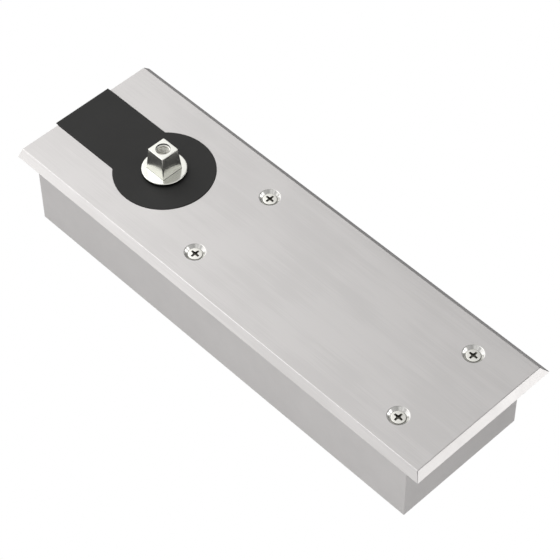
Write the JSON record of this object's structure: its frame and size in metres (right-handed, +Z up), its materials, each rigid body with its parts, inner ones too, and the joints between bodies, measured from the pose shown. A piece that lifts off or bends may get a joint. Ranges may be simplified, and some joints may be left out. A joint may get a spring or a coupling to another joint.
{
  "type": "floor spring",
  "caption": "Floor-set hydraulic door closer: grey cement case, brushed steel cover with folded edges, black keyhole insert, tapered square spindle, heart cam, sliding yoke and spring.",
  "frame": {"origin": "on the spindle axis, at the level of the finished floor, which is the top face of the cover plate", "axes": "+X along the box from the spindle to the far end, +Y across it to the left of +X, +Z up along the spindle towards the door"},
  "size_m": [0.3074, 0.098, 0.0699],
  "materials": {
    "brushed_cover": "brushed along its length",
    "case_grey": "matte",
    "insert_black": "fine grained",
    "screw_bright": "bright",
    "spindle_nickel": "polished nickel",
    "cast_body": "painted casting",
    "hard_steel": "ground",
    "bearing_steel": "polished",
    "spring_steel": "oiled",
    "fastener_steel": "zinc plated",
    "piston_alloy": "turned",
    "cage_brass": "pressed",
    "bush_bronze": "sintered",
    "valve_brass": "turned",
    "ring_plastic": "smooth",
    "seal_rubber": "matte"
  },
  "bodies": {
    "housing": {"cement_case": "case_grey", "cover_plate": "brushed_cover", "keyhole_insert": "insert_black", "cover_screws": "screw_bright", "closer_body": "cast_body", "base_cover": "cast_body", "base_gasket": "seal_rubber", "base_screws": "fastener_steel", "upper_outer_race": "bearing_steel", "lower_outer_race": "bearing_steel", "shaft_seal": "seal_rubber", "seal_spring": "spring_steel", "seal_retainer": "fastener_steel", "rod_bush": "bush_bronze", "spring_seat": "fastener_steel", "main_spring": "spring_steel", "end_plug": "fastener_steel", "end_plug_ring": "seal_rubber", "channel_plugs": "fastener_steel", "filler_plug": "fastener_steel", "clamp_bolts": "fastener_steel", "clamp_washers": "fastener_steel", "levelling_screws": "fastener_steel"},
    "spindle_group": {"spindle": "spindle_nickel", "cam": "hard_steel", "cam_key": "hard_steel", "upper_spacer": "hard_steel", "lower_spacer": "hard_steel", "upper_inner_race": "bearing_steel", "lower_inner_race": "bearing_steel"},
    "upper_ball_set": {"upper_balls": "bearing_steel", "upper_cage": "cage_brass"},
    "lower_ball_set": {"lower_balls": "bearing_steel", "lower_cage": "cage_brass"},
    "yoke": {"upper_yoke_plate": "hard_steel", "lower_yoke_plate": "hard_steel", "crosshead": "hard_steel", "crosshead_pins": "hard_steel", "roller_pin": "hard_steel", "piston_rod": "bearing_steel", "piston": "piston_alloy", "piston_ring": "ring_plastic", "piston_nut": "fastener_steel", "check_ball": "bearing_steel", "check_retainer": "fastener_steel"},
    "roller": {"cam_roller": "bearing_steel"},
    "closing_screw": {"closing_valve": "valve_brass", "closing_valve_ring": "seal_rubber"},
    "latch_screw": {"latch_valve": "valve_brass", "latch_valve_ring": "seal_rubber"}
  },
  "joints": [
    {"name": "spindle_turn", "type": "hinge", "parent": "housing", "child": "spindle_group", "pos_m": [0, 0, 0], "axis": [0, 0, 1], "range_deg": [0, 130], "stiffness_Nm_per_rad": 1, "springref_deg": -17.19},
    {"name": "yoke_slide", "type": "slide", "parent": "housing", "child": "yoke", "axis": [-1, 0, 0], "range_m": [0, 0.012], "deforming": ["main_spring"]},
    {"name": "upper_balls_turn", "type": "hinge", "parent": "housing", "child": "upper_ball_set", "pos_m": [0, 0, -0.0125], "axis": [0, 0, 1], "range_deg": [0, 58]},
    {"name": "lower_balls_turn", "type": "hinge", "parent": "housing", "child": "lower_ball_set", "pos_m": [0, 0, -0.042], "axis": [0, 0, 1], "range_deg": [0, 58]},
    {"name": "roller_spin", "type": "hinge", "parent": "yoke", "child": "roller", "pos_m": [-0.0215, 0, -0.028], "axis": [0, 0, 1], "continuous": true},
    {"name": "closing_valve_turn", "type": "hinge", "parent": "housing", "child": "closing_screw", "pos_m": [0.1838, -0.0225, -0.019], "axis": [0, 0, 1], "range_deg": [0, 360]},
    {"name": "latch_valve_turn", "type": "hinge", "parent": "housing", "child": "latch_screw", "pos_m": [0.1838, 0.0225, -0.019], "axis": [0, 0, 1], "range_deg": [0, 360]}
  ],
  "couplings": [
    {"joint": "yoke_slide", "follows": "spindle_turn", "m_per_rad": 0.0052888},
    {"joint": "upper_balls_turn", "follows": "spindle_turn", "ratio": 0.4331},
    {"joint": "lower_balls_turn", "follows": "spindle_turn", "ratio": 0.4354}
  ]
}
